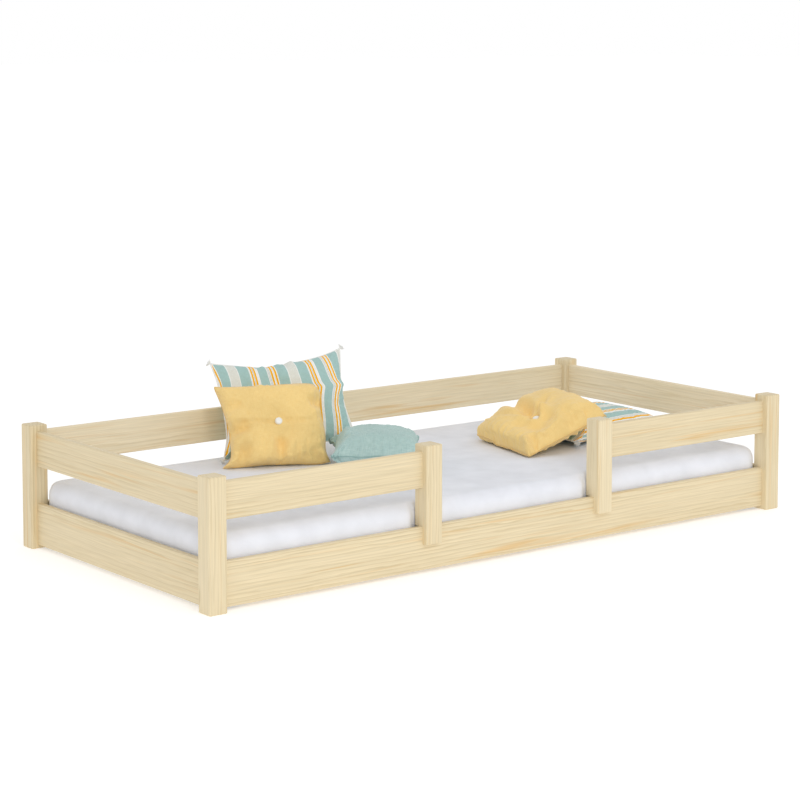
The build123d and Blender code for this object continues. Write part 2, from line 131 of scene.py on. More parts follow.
# ---------------- node helpers
class Tree:
    """A material's node tree with short ways to add and join nodes."""

    def __init__(self, name):
        self.material = bpy.data.materials.new(name)
        self.material.use_nodes = True
        self.tree = self.material.node_tree
        self.shader = self.tree.nodes["Principled BSDF"]

    def add(self, kind, values=None, **settings):
        node = self.tree.nodes.new(kind)
        for key, value in settings.items():
            setattr(node, key, value)
        for key, value in (values or {}).items():
            self.put(node, key, value)
        return node

    def put(self, node, key, value):
        socket = node.inputs[key]
        if isinstance(value, bpy.types.NodeSocket):
            self.tree.links.new(value, socket)
        else:
            socket.default_value = value

    def math(self, operation, a, b=0.0):
        return self.add("ShaderNodeMath", {0: a, 1: b}, operation=operation).outputs[0]

    def ramp(self, factor, stops, interpolation="LINEAR"):
        node = self.add("ShaderNodeValToRGB", {0: factor})
        ramp = node.color_ramp
        ramp.interpolation = interpolation
        while len(ramp.elements) < len(stops):
            ramp.elements.new(0.5)
        for element, (place, colour) in zip(ramp.elements, stops):
            element.position = place
            element.color = (*colour, 1)
        return node.outputs[0]

    def mix(self, factor, a, b, blend="MIX"):
        node = self.add("ShaderNodeMix", data_type="RGBA", blend_type=blend)
        self.put(node, 0, factor)
        self.put(node, 6, a)
        self.put(node, 7, b)
        return node.outputs[2]

    def plain(self, key, value):
        """A value that is the same all over, on the shader's own socket."""
        self.shader.inputs[key].default_value = value

    def moved(self, vector, **settings):
        """The vector through a mapping node."""
        node = self.add("ShaderNodeMapping", {"Vector": vector})
        for key, value in settings.items():
            node.inputs[key].default_value = value
        return node.outputs[0]

    def solid(self):
        """Places in the object itself, in metres."""
        return self.add("ShaderNodeTexCoord").outputs["Object"]

    def noise(self, vector, scale, detail=2.0, roughness=0.5, distortion=0.0):
        values = {"Vector": vector, "Scale": scale, "Detail": detail, "Roughness": roughness}
        node = self.add("ShaderNodeTexNoise", values)
        node.inputs["Distortion"].default_value = distortion
        return node.outputs[0]

    def bump(self, height, strength, distance):
        node = self.add("ShaderNodeBump", {"Height": height})
        node.inputs["Strength"].default_value = strength
        node.inputs["Distance"].default_value = distance
        self.tree.links.new(node.outputs[0], self.shader.inputs["Normal"])


def srgb(red, green, blue):
    """An sRGB colour of 0 to 255 as linear."""
    def linear(value):
        value = value / 255
        return value / 12.92 if value <= 0.04045 else ((value + 0.055) / 1.055) ** 2.4
    return (linear(red), linear(green), linear(blue))


def grey(level):
    """A linear grey."""
    return (level, level, level)


# ---------------- wood
def pine(name, axis, pale, dark, streak):
    """Lacquered pine whose grain runs along axis 0, 1 or 2 of the frame."""
    t = Tree(name)
    along = t.moved(t.solid(), Rotation=((0, 0, 0), (0, 0, math.pi / 2), (0, math.pi / 2, 0))[axis])
    stretched = t.moved(along, Scale=(0.07, 1.0, 1.0), Location=(0.0, 0.37, 0.61))
    # growth rings cut at a shallow angle
    rings = t.add(
        "ShaderNodeTexWave",
        {
            "Vector": stretched, "Scale": 30.0, "Distortion": 7.5,
            "Detail": 3.0, "Detail Scale": 1.5, "Detail Roughness": 0.6,
        },
        wave_type="RINGS", rings_direction="X", wave_profile="SAW",
    ).outputs["Fac"]
    rings = t.ramp(rings, [(0.0, grey(0)), (0.55, grey(0.25)), (0.86, grey(1)), (1.0, grey(0.1))])
    fade = t.noise(stretched, 9.0, 2.0)
    strength = t.ramp(fade, [(0.35, grey(0.15)), (0.68, grey(1))])
    lines = t.math("MULTIPLY", rings, strength)
    # long fibres
    fibres = t.noise(t.moved(along, Scale=(6.0, 420.0, 420.0)), 1.0, 3.0, 0.6)
    # a few warmer streaks
    warm = t.noise(t.moved(along, Scale=(1.6, 55.0, 55.0)), 1.0, 2.0, 0.55, 0.7)
    streaks = t.ramp(warm, [(0.58, grey(0)), (0.74, grey(1))])
    broad = t.noise(stretched, 4.0, 1.0)
    base = t.mix(t.math("MULTIPLY", broad, 0.5), (*pale, 1), (*dark, 1))
    base = t.mix(t.math("MULTIPLY", lines, 0.85), base, (*dark, 1))
    base = t.mix(t.math("MULTIPLY", streaks, 0.75), base, (*streak, 1))
    fibre_tone = t.ramp(fibres, [(0.3, (0.90, 0.90, 0.88)), (0.7, grey(1.06))])
    base = t.mix(1.0, base, fibre_tone, "MULTIPLY")
    t.put(t.shader, "Base Color", base)
    t.put(t.shader, "Roughness", t.ramp(lines, [(0.0, grey(0.46)), (1.0, grey(0.56))]))
    t.plain("Specular IOR Level", 0.35)
    t.bump(t.math("ADD", t.math("MULTIPLY", fibres, 0.35), t.math("MULTIPLY", lines, 0.5)), 0.12, 0.0006)
    return t.material


def steel(name):
    t = Tree(name)
    spangle = t.noise(t.solid(), 350.0, 3.0)
    t.put(t.shader, "Base Color", t.ramp(spangle, [(0.3, srgb(176, 178, 180)), (0.7, srgb(206, 208, 209))]))
    t.put(t.shader, "Roughness", t.ramp(spangle, [(0.3, grey(0.28)), (0.7, grey(0.42))]))
    t.plain("Metallic", 1.0)
    t.bump(spangle, 0.08, 0.0003)
    return t.material


def dress_frame():
    """Gives each CAD node its wood, with the grain along its longest side, or zinc-plated steel."""
    def planks(name, axes, pale, dark, streak):
        return {axis: pine(f"{name}_along_{'xyz'[axis]}", axis, pale, dark, streak) for axis in axes}

    streak = srgb(226, 190, 132)
    woods = planks("pine", (0, 1, 2), srgb(240, 225, 192), srgb(206, 185, 142), streak)
    # painted light: a paler copy of the same pine, standing in for the brighter light that falls on the inner
    # faces of the back and right end guards
    painted_lit_board = planks("pine_painted_lit", (0, 1), srgb(248, 235, 207), srgb(222, 202, 160), streak)
    slat_wood = planks("bare_pine", (0, 1), srgb(226, 204, 160), srgb(196, 168, 120), srgb(190, 150, 98))
    beech = planks("beech", (0,), srgb(214, 182, 142), srgb(188, 150, 108), srgb(180, 140, 98))
    zinc = steel("zinc_plate")
    metal = ("slat_screws", "ledger_screws", "short_post_screws", "corner_plate", "hanger", "bolt")
    for name, node in nodes.items():
        low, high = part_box(name)
        longest = int(np.argmax(np.array(high) - np.array(low)))
        if name.endswith("dowels"):
            choice = beech[0]
        elif name.startswith(metal):
            choice = zinc
        elif name.startswith(("slat_", "ledger_")):
            choice = slat_wood[longest]
        # painted light: these two guards show their inner faces, which get the paler copy of the pine for the
        # brighter light there
        elif name in ("guard_back", "guard_right_end"):
            choice = painted_lit_board[longest]
        elif name.startswith(("post_", "short_post", "rail_", "guard_")):
            choice = woods[longest]
        else:
            continue
        for slot in node.material_slots:
            slot.material = choice


# ---------------- cushions
def cushion_plane(middle, heading, lean, roll=0.0):
    """Matrix of a cushion's middle plane: x to its right, y to its top edge, z out of its front."""
    turn, tip, twist = (math.radians(v) for v in (heading, lean, roll))
    along = Vector((math.cos(turn), math.sin(turn), 0))
    away = Vector((-math.sin(turn), math.cos(turn), 0))
    rise = Vector((0, 0, 1)) * math.cos(tip) + away * math.sin(tip)
    right = along * math.cos(twist) + rise * math.sin(twist)
    return plane_matrix(middle, right, along.cross(rise))


def flat_cushion_plane(middle, heading, right_up=0.0, back_up=0.0):
    """The same for a cushion that lies on its back, with its right and back edges tipped up."""
    turn, side, rear = (math.radians(v) for v in (heading, right_up, back_up))
    along = Vector((math.cos(turn) * math.cos(side), math.sin(turn) * math.cos(side), math.sin(side)))
    away = Vector((-math.sin(turn) * math.cos(rear), math.cos(turn) * math.cos(rear), math.sin(rear)))
    return plane_matrix(middle, along, along.cross(away))


def plane_matrix(middle, right, out):
    out = out.normalized()
    right = (right - out * right.dot(out)).normalized()
    top = out.cross(right)
    matrix = Matrix((right, top, out)).transposed().to_4x4()
    matrix.translation = middle
    return matrix


def new_piece(name, points, faces, places=None):
    """A smooth mesh object. places are its points on the cut cloth."""
    mesh = bpy.data.meshes.new(name)
    mesh.from_pydata(points, [], faces)
    if places:
        layer = mesh.uv_layers.new(name="cut")
        flat = np.array(places, np.float32)[[v for face in faces for v in face]]
        layer.data.foreach_set("uv", flat.ravel())
    for polygon in mesh.polygons:
        polygon.use_smooth = True
    piece = bpy.data.objects.new(name, mesh)
    scene.collection.objects.link(piece)
    return piece


def panel_mesh(name, width, height, crown, cells, tuft=None, seed=0):
    """Two cut panels sewn round the edge, slightly crowned so that the filling knows which way is out."""
    across, up = cells, max(8, round(cells * height / width))
    noise = np.random.default_rng(seed)
    xs = np.linspace(-width / 2, width / 2, across + 1)
    ys = np.linspace(-height / 2, height / 2, up + 1)
    points, places, index = [], [], {}
    for side in (1, -1):
        for j, y in enumerate(ys):
            for i, x in enumerate(xs):
                rim = i in (0, across) or j in (0, up)
                if rim and side < 0:
                    index[side, i, j] = index[1, i, j]
                    continue
                swell = (1 - abs(2 * x / width) ** 2.5) * (1 - abs(2 * y / height) ** 2.5)
                z = 0.0 if rim else side * crown * max(0.0, swell) ** 0.6
                z += 0.0 if rim else side * 0.0012 * noise.standard_normal()
                if tuft and side > 0:
                    near = math.hypot(x - tuft[0], y - tuft[1]) / 0.035
                    z += (tuft[2] - z) * math.exp(-near * near)
                index[side, i, j] = len(points)
                points.append((x, y, z))
                places.append((x, y))
    faces = []
    for side in (1, -1):
        for j in range(up):
            for i in range(across):
                corner = [index[side, i + a, j + b] for a, b in ((0, 0), (1, 0), (1, 1), (0, 1))]
                faces.append(corner if side > 0 else corner[::-1])
    rim = [index[1, i, 0] for i in range(across)] + [index[1, across, j] for j in range(up)]
    rim += [index[1, i, up] for i in range(across, 0, -1)] + [index[1, 0, j] for j in range(up, 0, -1)]
    return new_piece(name, points, faces, places), rim, (across, up)


def read(mesh):
    points = np.empty(len(mesh.vertices) * 3, np.float32)
    mesh.vertices.foreach_get("co", points)
    return points.reshape(-1, 3).astype(float)


def write(mesh, points):
    mesh.vertices.foreach_set("co", np.asarray(points, np.float32).ravel())
    mesh.update()


def inflate(piece, pressure, frames, held):
    """Fills the sewn panels with Blender's cloth and keeps the result in the mesh. The held points stay."""
    stiff = 15.0
    pins = None
    if held:
        pins = piece.vertex_groups.new(name="held")
        pins.add(list(held), 1.0, "REPLACE")
    cloth = piece.modifiers.new("cloth", "CLOTH")
    setting = cloth.settings
    setting.quality = 6
    setting.mass = 0.15
    setting.tension_stiffness = setting.compression_stiffness = stiff
    setting.shear_stiffness = stiff * 0.35
    setting.bending_stiffness = 0.15
    setting.tension_damping = setting.compression_damping = setting.shear_damping = 8.0
    setting.air_damping = 2.0
    setting.use_pressure = True
    setting.uniform_pressure_force = pressure
    setting.effector_weights.gravity = 0.0
    if pins:
        setting.vertex_group_mass = "held"
    cloth.point_cache.frame_start = 1
    cloth.point_cache.frame_end = frames
    for number in range(1, frames + 1):
        scene.frame_set(number)
    depsgraph = bpy.context.evaluated_depsgraph_get()
    result = read(piece.evaluated_get(depsgraph).data)
    piece.modifiers.remove(cloth)
    write(piece.data, result)
    scene.frame_set(1)


def cut_places(piece):
    """Each point's place on the cut panel."""
    mesh = piece.data
    spots = np.empty(len(mesh.loops) * 2, np.float32)
    mesh.uv_layers["cut"].data.foreach_get("uv", spots)
    corners = np.empty(len(mesh.loops), np.int32)
    mesh.loops.foreach_get("vertex_index", corners)
    places = np.zeros((len(mesh.vertices), 2))
    places[corners] = spots.reshape(-1, 2)
    return places


def seam_side(knots, count):
    """A smooth line through knots as count points, evenly spread along it."""
    knots = np.array(knots, float)
    length = np.concatenate([[0], np.cumsum(np.linalg.norm(np.diff(knots, axis=0), axis=1))])
    at = np.linspace(0, length[-1], 97)
    line = np.stack([np.interp(at, length, knots[:, k]) for k in range(2)], 1)
    for _ in range(60):
        line[1:-1] = (line[:-2] + 2 * line[1:-1] + line[2:]) / 4
    at = np.linspace(0, 1, 97)
    return np.stack([np.interp(np.linspace(0, 1, count), at, line[:, k]) for k in range(2)], 1)


def coons(u, v, south, north, west, east):
    """Spreads four sides over a patch. u and v are 0 to 1, and a side is its points and its two ends."""
    inside = (1 - v) * south[0] + v * north[0] + (1 - u) * west[0] + u * east[0]
    corners = (1 - u) * (1 - v) * south[1] + u * (1 - v) * south[2]
    return inside - (corners + (1 - u) * v * north[1] + u * v * north[2])


def match_outline(piece, rim, cells, cut, outline, blunt):
    """Moves the seam onto outline and carries the cloth along.

    outline has the bottom, right, top and left sides, each as points that run round the cushion, and blunt
    says how far each side's first corner is drawn in."""
    points = read(piece.data)
    across, up = cells
    loop = [*rim, rim[0]]
    ends = (0, across, across + up, 2 * across + up, 2 * across + 2 * up)
    inward = np.array([[1, 1], [-1, 1], [-1, -1], [1, -1]]) / math.sqrt(2)
    shifts = []
    for number in range(4):
        side = loop[ends[number] : ends[number + 1] + 1]
        line = seam_side(outline[number], len(side))
        travel = np.linalg.norm(line - line[0], axis=1)[:, None]
        back = np.linalg.norm(line - line[-1], axis=1)[:, None]
        line = line + blunt[number] * inward[number] * np.exp(-((travel / 0.016) ** 2))
        line = line + blunt[(number + 1) % 4] * inward[(number + 1) % 4] * np.exp(-((back / 0.016) ** 2))
        shifts.append(line - points[side, :2])
    south, east, north, west = shifts[0], shifts[1], shifts[2][::-1], shifts[3][::-1]
    places = cut_places(piece)
    u = np.clip(places[:, 0] / cut[0] + 0.5, 0, 1)
    v = np.clip(places[:, 1] / cut[1] + 0.5, 0, 1)

    def along(side, share):
        at = np.linspace(0, 1, len(side))
        return np.stack([np.interp(share, at, side[:, k]) for k in range(2)], 1), side[0], side[-1]

    sides = along(south, u), along(north, u), along(west, v), along(east, v)
    points[:, :2] += coons(u[:, None], v[:, None], *sides)
    write(piece.data, points)


def pucker(piece, cut, depth, reach, pitch, seed, weight=None):
    """Gathers the cloth beside the seam: short folds that run away from it and die out."""
    chance = np.random.default_rng(seed)
    points = read(piece.data)
    places = cut_places(piece)
    half = np.array(cut) / 2
    away = half - np.abs(places)
    near = away.min(1)
    side = away[:, 0] < away[:, 1]
    along = np.where(side, places[:, 1] + 3 * np.sign(places[:, 0]), places[:, 0] + 7 * np.sign(places[:, 1]))
    fold = np.zeros(len(points))
    for share in (1.0, 0.61, 1.57):
        fold += np.sin(along * 2 * math.pi / (pitch * share) + chance.uniform(0, 6.28))
    swing = 0.55 + 0.45 * np.sin(along * 2 * math.pi / (pitch * 5.3) + chance.uniform(0, 6.28))
    shape = near / reach * np.exp(1 - near / reach)
    ends = np.clip(np.maximum(away[:, 0], away[:, 1]) / (3 * reach), 0, 1)
    lift = depth * shape * fold / 1.7 * swing * ends
    if weight is not None:
        lift = lift * weight(places)
    points[:, 2] += np.sign(points[:, 2]) * lift
    write(piece.data, points)


def bow_threads(piece, reach):
    """Lets the cloth's threads bow sideways by reach between the middle and the top and bottom seams."""
    layer = piece.data.uv_layers["cut"].data
    spots = np.empty(len(layer) * 2, np.float32)
    layer.foreach_get("uv", spots)
    spots = spots.reshape(-1, 2)
    spots[:, 0] += reach * (spots[:, 1] / np.abs(spots[:, 1]).max()) ** 2
    layer.foreach_set("uv", spots.ravel())


def furrow(piece, start, end, depth, width, from_tuft=False):
    """A soft valley in the front from start to end, both on the cushion's plane. It fades at both ends, or
    only at its far end when it runs out of a tuft."""
    points = read(piece.data)
    start, end = np.array(start, float), np.array(end, float)
    line = end - start
    length = np.linalg.norm(line)
    share = (points[:, :2] - start) @ line / length**2
    off = np.abs((points[:, :2] - start) @ np.array((-line[1], line[0])) / length)
    if from_tuft:
        fade = np.where(share < 0, np.exp(-((share * length / width) ** 2)), np.clip(1 - share, 0, 1))
    else:
        fade = np.clip(np.minimum(share, 1 - share) * 4, 0, 1)
        fade = fade * fade * (3 - 2 * fade)
    cross = np.exp(-((off / width) ** 2)) - 0.45 * np.exp(-(((off - 2.0 * width) / width) ** 2))
    face = points[:, 2] > 0.004
    points[face, 2] -= (depth * fade * cross)[face]
    write(piece.data, points)


def swell_at(piece, middle, radius, height, front=True):
    """Plumps one face round middle by height, or sinks it where height is below zero."""
    points = read(piece.data)
    off = ((points[:, 0] - middle[0]) / radius[0]) ** 2 + ((points[:, 1] - middle[1]) / radius[1]) ** 2
    face = points[:, 2] > 0 if front else points[:, 2] < 0
    share = np.clip(np.abs(points[:, 2]) / 0.03, 0, 1)
    points[face, 2] += (height * np.exp(-off) * share)[face] * (1 if front else -1)
    write(piece.data, points)


def keep_seam_sharp(piece, rim):
    """Marks the seam so that smoothing leaves it where it is."""
    seam = {frozenset((rim[k], rim[(k + 1) % len(rim)])) for k in range(len(rim))}
    crease = piece.data.attributes.new("crease_edge", "FLOAT", "EDGE")
    for edge, mark in zip(piece.data.edges, crease.data):
        if frozenset(edge.vertices) in seam:
            mark.value = 1.0


def set_thickness(piece, front, back, full):
    """Scales each panel's swell to front and back, in metres from the middle plane. A smaller full makes
    the sides steeper."""
    points = read(piece.data)
    depth = points[:, 2]
    out, under = depth > 0, depth < 0
    depth[out] = front * (depth[out] / depth.max()) ** full
    depth[under] = -back * (depth[under] / depth.min()) ** full
    write(piece.data, points)


def place(piece, matrix):
    """Moves the mesh's own points onto the bed, because the object itself stays at the origin."""
    piece.data.transform(matrix)
    piece.data.update()


def press_on_bed(piece, floor):
    """Flattens what would sink into the bed."""
    soft = 0.004
    points = read(piece.data)
    above = (points[:, 2] - floor - 0.0008) / soft
    kept = np.where(above > 20, above, np.log1p(np.exp(np.minimum(above, 20))))
    points[:, 2] = floor + 0.0008 + soft * kept
    write(piece.data, points)


def settle_down(piece, along, floor):
    """Lets the lower edge of a leaning cushion sink until its whole length rests on the bed."""
    reach = 0.07
    points = read(piece.data)
    place_along = points @ np.array(along)
    span = np.linspace(place_along.min(), place_along.max(), 30)
    lowest = np.array([points[np.abs(place_along - v) < 0.014][:, 2].min() for v in span])
    lowest = np.convolve(np.pad(lowest, 3, "edge"), np.hanning(9)[1:-1] / np.hanning(9)[1:-1].sum(), "valid")
    gap = np.interp(place_along, span, lowest) - floor
    points[:, 2] -= np.maximum(gap - 0.001, 0) * np.exp(-((points[:, 2] - floor) / reach) ** 2)
    write(piece.data, points)


def tube(name, path, radius, closed=True, sides=8):
    """A round cord along a path of points."""
    path = np.asarray(path, float)
    count = len(path)
    before = np.roll(path, 1, 0) if closed else np.vstack([path[:1], path[:-1]])
    after = np.roll(path, -1, 0) if closed else np.vstack([path[1:], path[-1:]])
    tangent = after - before
    tangent /= np.linalg.norm(tangent, axis=1)[:, None]
    normal = np.cross(tangent[0], (0.3, 0.2, 0.93))
    points = []
    radii = np.broadcast_to(radius, (count,))
    for k in range(count):
        normal = normal - tangent[k] * normal.dot(tangent[k])
        normal /= np.linalg.norm(normal)
        other = np.cross(tangent[k], normal)
        for m in range(sides):
            turn = 2 * math.pi * m / sides
            points.append(path[k] + radii[k] * (math.cos(turn) * normal + math.sin(turn) * other))
    faces = []
    for k in range(count if closed else count - 1):
        for m in range(sides):
            a, b = k * sides + m, k * sides + (m + 1) % sides
            c, d = (k + 1) % count * sides + (m + 1) % sides, (k + 1) % count * sides + m
            faces.append((a, d, c, b))
    if not closed:
        faces.append(tuple(range(sides)))
        faces.append(tuple(reversed(range((count - 1) * sides, count * sides))))
    return new_piece(name, [tuple(p) for p in points], faces)


def resample(path, step, closed=True):
    """Evenly spaced points along a path."""
    path = np.asarray(path, float)
    if closed:
        path = np.vstack([path, path[:1]])
    length = np.concatenate([[0], np.cumsum(np.linalg.norm(np.diff(path, axis=0), axis=1))])
    count = max(4, int(length[-1] / step))
    at = np.linspace(0, length[-1], count, endpoint=not closed)
    return np.stack([np.interp(at, length, path[:, k]) for k in range(3)], 1)


def smooth_loop(path, times):
    for _ in range(times):
        path = (np.roll(path, 1, 0) + 2 * path + np.roll(path, -1, 0)) / 4
    return path


def join(name, pieces):
    """One object from several."""
    bpy.ops.object.select_all(action="DESELECT")
    for piece in pieces:
        piece.select_set(True)
    bpy.context.view_layer.objects.active = pieces[0]
    bpy.ops.object.join()
    pieces[0].name = name
    pieces[0].data.name = name
    return pieces[0]


def subdivide(piece):
    modifier = piece.modifiers.new("smooth", "SUBSURF")
    modifier.levels = modifier.render_levels = 1


def fringe(name, corners, length, seed):
    """A bound knot and a bushy spray of yarn on each corner."""
    chance = np.random.default_rng(seed)
    pieces = []
    for number, (corner, outward) in enumerate(corners):
        outward = outward / np.linalg.norm(outward)
        side = np.cross(outward, (0, 0, 1))
        side = side / np.linalg.norm(side)
        other = np.cross(outward, side)
        at = np.linspace(-0.001, 0.005, 9)
        bulge = 0.0030 + 0.0006 * np.cos(at / 0.0010)
        line = corner + at[:, None] * outward
        pieces.append(tube(f"{name}_knot_{number}", line, bulge, closed=False, sides=10))
        for strand in range(STRANDS):
            turn = 2.4 * strand + chance.uniform(-0.2, 0.2)
            spread = 0.85 * math.sqrt((strand + 0.5) / STRANDS)
            reach = length * chance.uniform(0.45, 1.0)
            steps = np.linspace(0, 1, 6)[:, None]
            lean = side * math.cos(turn) + other * math.sin(turn)
            path = corner + outward * (0.003 + (reach - 0.003) * steps * (1 - 0.25 * spread * steps))
            path = path + lean * reach * spread * np.sin(steps * 1.45)
            path[:, 2] -= 0.0018 * steps[:, 0] ** 2
            pieces.append(tube(f"{name}_yarn_{number}_{strand}", path, 0.0009, closed=False, sides=5))
    return join(name, pieces)


# ---------------- cloth materials
def cut_coordinates(t):
    """Places on the cut cloth, in metres."""
    return t.add("ShaderNodeUVMap", uv_map="cut").outputs[0]


def woven(t, where, pitch):
    """Height of a plain weave whose threads are pitch apart."""
    scaled = t.add("ShaderNodeVectorMath", {0: where}, operation="SCALE")
    scaled.inputs["Scale"].default_value = math.pi / pitch
    split = t.add("ShaderNodeSeparateXYZ", {0: scaled.outputs[0]})
    across = t.math("SINE", split.outputs[0])
    up = t.math("SINE", split.outputs[1])
    return t.math("ABSOLUTE", t.math("MULTIPLY", across, up))


def slubs(t, where, long_scale, short_scale, seed=0.0):
    """Thick and thin threads both ways."""
    parts = []
    for scale in ((long_scale, short_scale, 1), (short_scale, long_scale, 1)):
        turned = t.moved(where, Scale=scale, Location=(seed, seed * 1.7, seed))
        parts.append(t.noise(turned, 1.0, 2.0, 0.6))
    return t.math("MULTIPLY", t.math("ADD", *parts), 0.5)


def cloth(name, pale, dark, contrast, pitch, slub, roughness, sheen, wrinkle):
    """Plain dyed cloth with a visible thread."""
    t = Tree(name)
    where = cut_coordinates(t)
    thread = slubs(t, where, *slub)
    tone = t.ramp(thread, [(0.5 - contrast, dark), (0.5 + contrast, pale)])
    patch = t.ramp(t.noise(t.solid(), 14.0, 2.0), [(0.3, grey(0.95)), (0.7, grey(1.03))])
    t.put(t.shader, "Base Color", t.mix(1.0, tone, patch, "MULTIPLY"))
    finish_cloth(t, where, thread, pitch, roughness, sheen, wrinkle)
    return t.material


def finish_cloth(t, where, thread, pitch, roughness, sheen, wrinkle):
    """Sheen, weave, thread and fine creases."""
    t.plain("Roughness", roughness)
    t.plain("Specular IOR Level", 0.2)
    t.plain("Sheen Weight", sheen)
    t.plain("Sheen Roughness", 0.45)
    weave = woven(t, where, pitch)
    height = t.math("ADD", t.math("MULTIPLY", weave, 0.25), t.math("MULTIPLY", thread, 0.5))
    crease = t.noise(t.solid(), 38.0, 3.0, 0.55, 0.4)
    height = t.math("ADD", height, t.math("MULTIPLY", crease, wrinkle * 10))
    t.bump(height, 0.55, 0.0007)


def striped_cloth(name, turned=False):
    """Teal, off-white and orange stripes. They run up the cut cloth, or along it if it is turned."""
    t = Tree(name)
    where = cut_coordinates(t)
    split = t.add("ShaderNodeSeparateXYZ", {0: where})
    if turned:
        along = t.math("SUBTRACT", 0.036 + REPEAT, split.outputs[1])
    else:
        along = t.math("ADD", split.outputs[0], 0.195 + REPEAT)
    share = t.math("FRACT", t.math("DIVIDE", along, REPEAT))
    teal, white, cream = srgb(172, 205, 201), srgb(248, 249, 246), srgb(232, 233, 224)
    orange, faint = srgb(255, 190, 22), srgb(190, 198, 192)
    bands = [
        (30, teal), (3, white), (27, cream), (2, white), (32, teal), (4, white),
        (5.5, orange), (1.6, white), (1.2, faint), (1.6, white), (5.5, orange), (9.5, white),
        (26, teal), (2.5, white), (1.2, faint), (2.2, white), (1.2, faint), (2.5, white),
        (5.5, orange), (5, white), (5.5, orange), (3, white),
    ]
    total = sum(width for width, _ in bands)
    first, rest = bands[:12], bands[12:]  # a ramp holds at most 32 stops
    middle = sum(width for width, _ in first) / total

    def stops(part, scale):
        out, at = [], 0.0
        for width, colour in part:
            out.append((at * scale, colour))
            at += width / total
        return out

    low = t.ramp(t.math("DIVIDE", share, middle), stops(first, 1 / middle), "CONSTANT")
    beyond = t.math("DIVIDE", t.math("SUBTRACT", share, middle), 1 - middle)
    high = t.ramp(beyond, stops(rest, 1 / (1 - middle)), "CONSTANT")
    colour = t.mix(t.math("GREATER_THAN", share, middle), low, high)
    thread = slubs(t, where, 90, 800, 3.0)
    tone = t.ramp(thread, [(0.36, grey(0.90)), (0.64, grey(1.05))])
    t.put(t.shader, "Base Color", t.mix(1.0, colour, tone, "MULTIPLY"))
    finish_cloth(t, where, thread, 0.0009, 0.85, 0.2, 0.2)
    return t.material


def yarn(name, colour):
    """Twisted cord or yarn without cut coordinates."""
    t = Tree(name)
    twist = t.noise(t.solid(), 900.0, 2.0)
    t.put(t.shader, "Base Color", t.ramp(twist, [(0.3, tuple(c * 0.86 for c in colour)), (0.7, colour)]))
    t.plain("Roughness", 0.85)
    t.plain("Sheen Weight", 0.3)
    t.bump(twist, 0.4, 0.0005)
    return t.material


def shell_button():
    t = Tree("button_resin")
    cloud = t.noise(t.solid(), 120.0, 3.0)
    t.put(t.shader, "Base Color", t.ramp(cloud, [(0.3, srgb(246, 243, 234)), (0.7, srgb(252, 251, 247))]))
    t.plain("Roughness", 0.35)
    t.bump(cloud, 0.05, 0.0003)
    return t.material


def foam_material():
    t = Tree("cream_foam")
    cells = t.noise(t.solid(), 500.0, 3.0, 0.7)
    t.put(t.shader, "Base Color", t.ramp(cells, [(0.3, srgb(226, 220, 198)), (0.7, srgb(243, 239, 222))]))
    t.plain("Roughness", 0.95)
    t.bump(cells, 0.5, 0.001)
    return t.material


